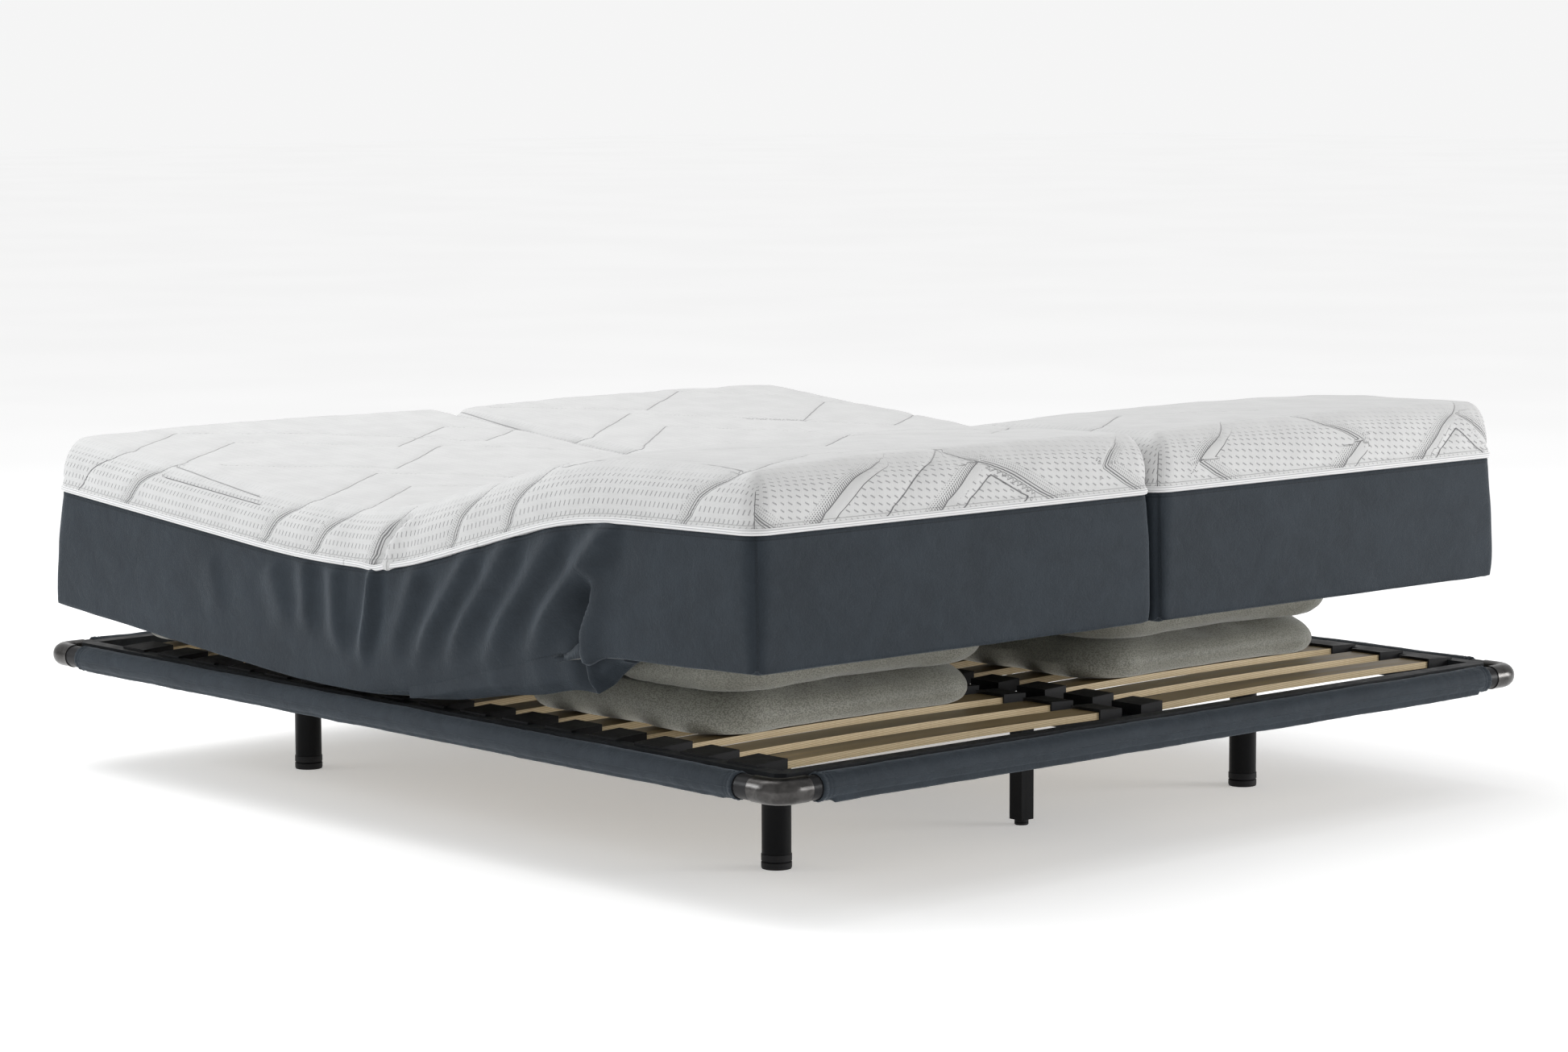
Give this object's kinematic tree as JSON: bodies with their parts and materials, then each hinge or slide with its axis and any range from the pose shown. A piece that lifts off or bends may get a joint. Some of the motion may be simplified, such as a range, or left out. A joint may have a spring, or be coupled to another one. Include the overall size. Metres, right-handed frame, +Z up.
{
  "type": "adjustable bed",
  "caption": "Twin slatted bed base on legs, with air cushions that lift the head and foot ends of two bending mattresses.",
  "frame": {"origin": "on the floor under the middle of the base, halfway between the two units and halfway between the head and foot rails", "axes": "+Z up, +Y towards the head end along the bed's length, +X across the bed to the right-hand unit seen from the foot end"},
  "size_m": [1.8474, 2.1076, 0.7056],
  "materials": {
    "velvet": "slate grey-blue short-pile velvet",
    "quilt_knit": "white double-jersey knit, quilted",
    "piping_white": "white woven piping tape",
    "cushion_mesh": "silver-beige fine technical mesh over an airtight bladder",
    "slat_wood": "clear-lacquered birch plywood, layered edges",
    "black_plastic": "moulded black plastic",
    "pump_plastic": "textured dark grey plastic",
    "frame_steel": "dark grey powder coat",
    "rail_steel": "black painted steel tube",
    "elbow_metal": "black chrome",
    "leg_black": "satin black powder coat",
    "zinc_steel": "zinc-plated steel",
    "hose_rubber": "black air hose"
  },
  "bodies": {
    "base": {"rail_left": "rail_steel", "rail_sleeve_left": "velvet", "edge_beam_left": "frame_steel", "rail_right": "rail_steel", "rail_sleeve_right": "velvet", "edge_beam_right": "frame_steel", "rail_foot": "rail_steel", "rail_sleeve_foot": "velvet", "edge_beam_foot": "frame_steel", "rail_head": "rail_steel", "rail_sleeve_head": "velvet", "edge_beam_head": "frame_steel", "cross_beam_foot": "frame_steel", "leg_centre_foot": "leg_black", "corner_elbow_foot_left": "elbow_metal", "leg_foot_left": "leg_black", "corner_elbow_foot_right": "elbow_metal", "leg_foot_right": "leg_black", "cross_beam_head": "frame_steel", "leg_centre_head": "leg_black", "corner_elbow_head_left": "elbow_metal", "leg_head_left": "leg_black", "corner_elbow_head_right": "elbow_metal", "leg_head_right": "leg_black", "centre_beam": "frame_steel", "corner_brackets": "black_plastic", "frame_studs": "zinc_steel", "leg_inserts": "black_plastic", "leg_bolts": "zinc_steel", "slats_left": "slat_wood", "slat_holders_left_outer": "black_plastic", "slat_holders_left_inner": "black_plastic", "foot_cushion_lower_left": "cushion_mesh", "foot_cushion_upper_left": "cushion_mesh", "head_cushion_left": "cushion_mesh", "air_hoses_left": "hose_rubber", "mattress_seat_left": "velvet", "slats_right": "slat_wood", "slat_holders_right_outer": "black_plastic", "slat_holders_right_inner": "black_plastic", "foot_cushion_lower_right": "cushion_mesh", "foot_cushion_upper_right": "cushion_mesh", "head_cushion_right": "cushion_mesh", "air_hoses_right": "hose_rubber", "mattress_seat_right": "velvet", "port_elbows": "black_plastic", "pump_tray": "pump_plastic", "pump_lid": "pump_plastic"},
    "head_section_left": {"mattress_head_left": "velvet"},
    "thigh_section_left": {"mattress_thigh_left": "velvet"},
    "foot_section_left": {"mattress_foot_left": "velvet"},
    "head_section_right": {"mattress_head_right": "velvet"},
    "thigh_section_right": {"mattress_thigh_right": "velvet"},
    "foot_section_right": {"mattress_foot_right": "velvet"},
    "levelling_foot_foot_left": {"levelling_foot_foot_left": "black_plastic"},
    "levelling_foot_foot_right": {"levelling_foot_foot_right": "black_plastic"},
    "levelling_foot_head_left": {"levelling_foot_head_left": "black_plastic"},
    "levelling_foot_head_right": {"levelling_foot_head_right": "black_plastic"},
    "levelling_foot_centre_foot": {"levelling_foot_centre_foot": "black_plastic"},
    "levelling_foot_centre_head": {"levelling_foot_centre_head": "black_plastic"}
  },
  "joints": [
    {"name": "head_lift_left", "type": "hinge", "parent": "base", "child": "head_section_left", "pos_m": [-0.457, 0.229, 0.4085], "axis": [1, 0, 0], "range_deg": [-4.5, 35.5], "deforming": ["head_cushion_left"]},
    {"name": "thigh_lift_left", "type": "hinge", "parent": "base", "child": "thigh_section_left", "pos_m": [-0.457, -0.06, 0.4085], "axis": [-1, 0, 0], "range_deg": [-14.8, 10.2], "deforming": ["foot_cushion_lower_left", "foot_cushion_upper_left"]},
    {"name": "foot_level_left", "type": "hinge", "parent": "thigh_section_left", "child": "foot_section_left", "pos_m": [-0.457, -0.55985, 0.54056], "axis": [1, 0, 0], "range_deg": [-14.8, 10.2]},
    {"name": "head_lift_right", "type": "hinge", "parent": "base", "child": "head_section_right", "pos_m": [0.457, 0.229, 0.4085], "axis": [1, 0, 0], "range_deg": [-4.5, 35.5], "deforming": ["head_cushion_right"]},
    {"name": "thigh_lift_right", "type": "hinge", "parent": "base", "child": "thigh_section_right", "pos_m": [0.457, -0.06, 0.4085], "axis": [-1, 0, 0], "range_deg": [-14.8, 10.2], "deforming": ["foot_cushion_lower_right", "foot_cushion_upper_right"]},
    {"name": "foot_level_right", "type": "hinge", "parent": "thigh_section_right", "child": "foot_section_right", "pos_m": [0.457, -0.55985, 0.54056], "axis": [1, 0, 0], "range_deg": [-14.8, 10.2]},
    {"name": "level_foot_left", "type": "slide", "parent": "base", "child": "levelling_foot_foot_left", "axis": [0, 0, -1], "range_m": [0, 0.012]},
    {"name": "level_foot_right", "type": "slide", "parent": "base", "child": "levelling_foot_foot_right", "axis": [0, 0, -1], "range_m": [0, 0.012]},
    {"name": "level_head_left", "type": "slide", "parent": "base", "child": "levelling_foot_head_left", "axis": [0, 0, -1], "range_m": [0, 0.012]},
    {"name": "level_head_right", "type": "slide", "parent": "base", "child": "levelling_foot_head_right", "axis": [0, 0, -1], "range_m": [0, 0.012]},
    {"name": "level_centre_foot", "type": "slide", "parent": "base", "child": "levelling_foot_centre_foot", "axis": [0, 0, -1], "range_m": [0, 0.012]},
    {"name": "level_centre_head", "type": "slide", "parent": "base", "child": "levelling_foot_centre_head", "axis": [0, 0, -1], "range_m": [0, 0.012]}
  ],
  "couplings": [
    {"joint": "foot_level_left", "follows": "thigh_lift_left", "ratio": 1},
    {"joint": "foot_level_right", "follows": "thigh_lift_right", "ratio": 1}
  ]
}
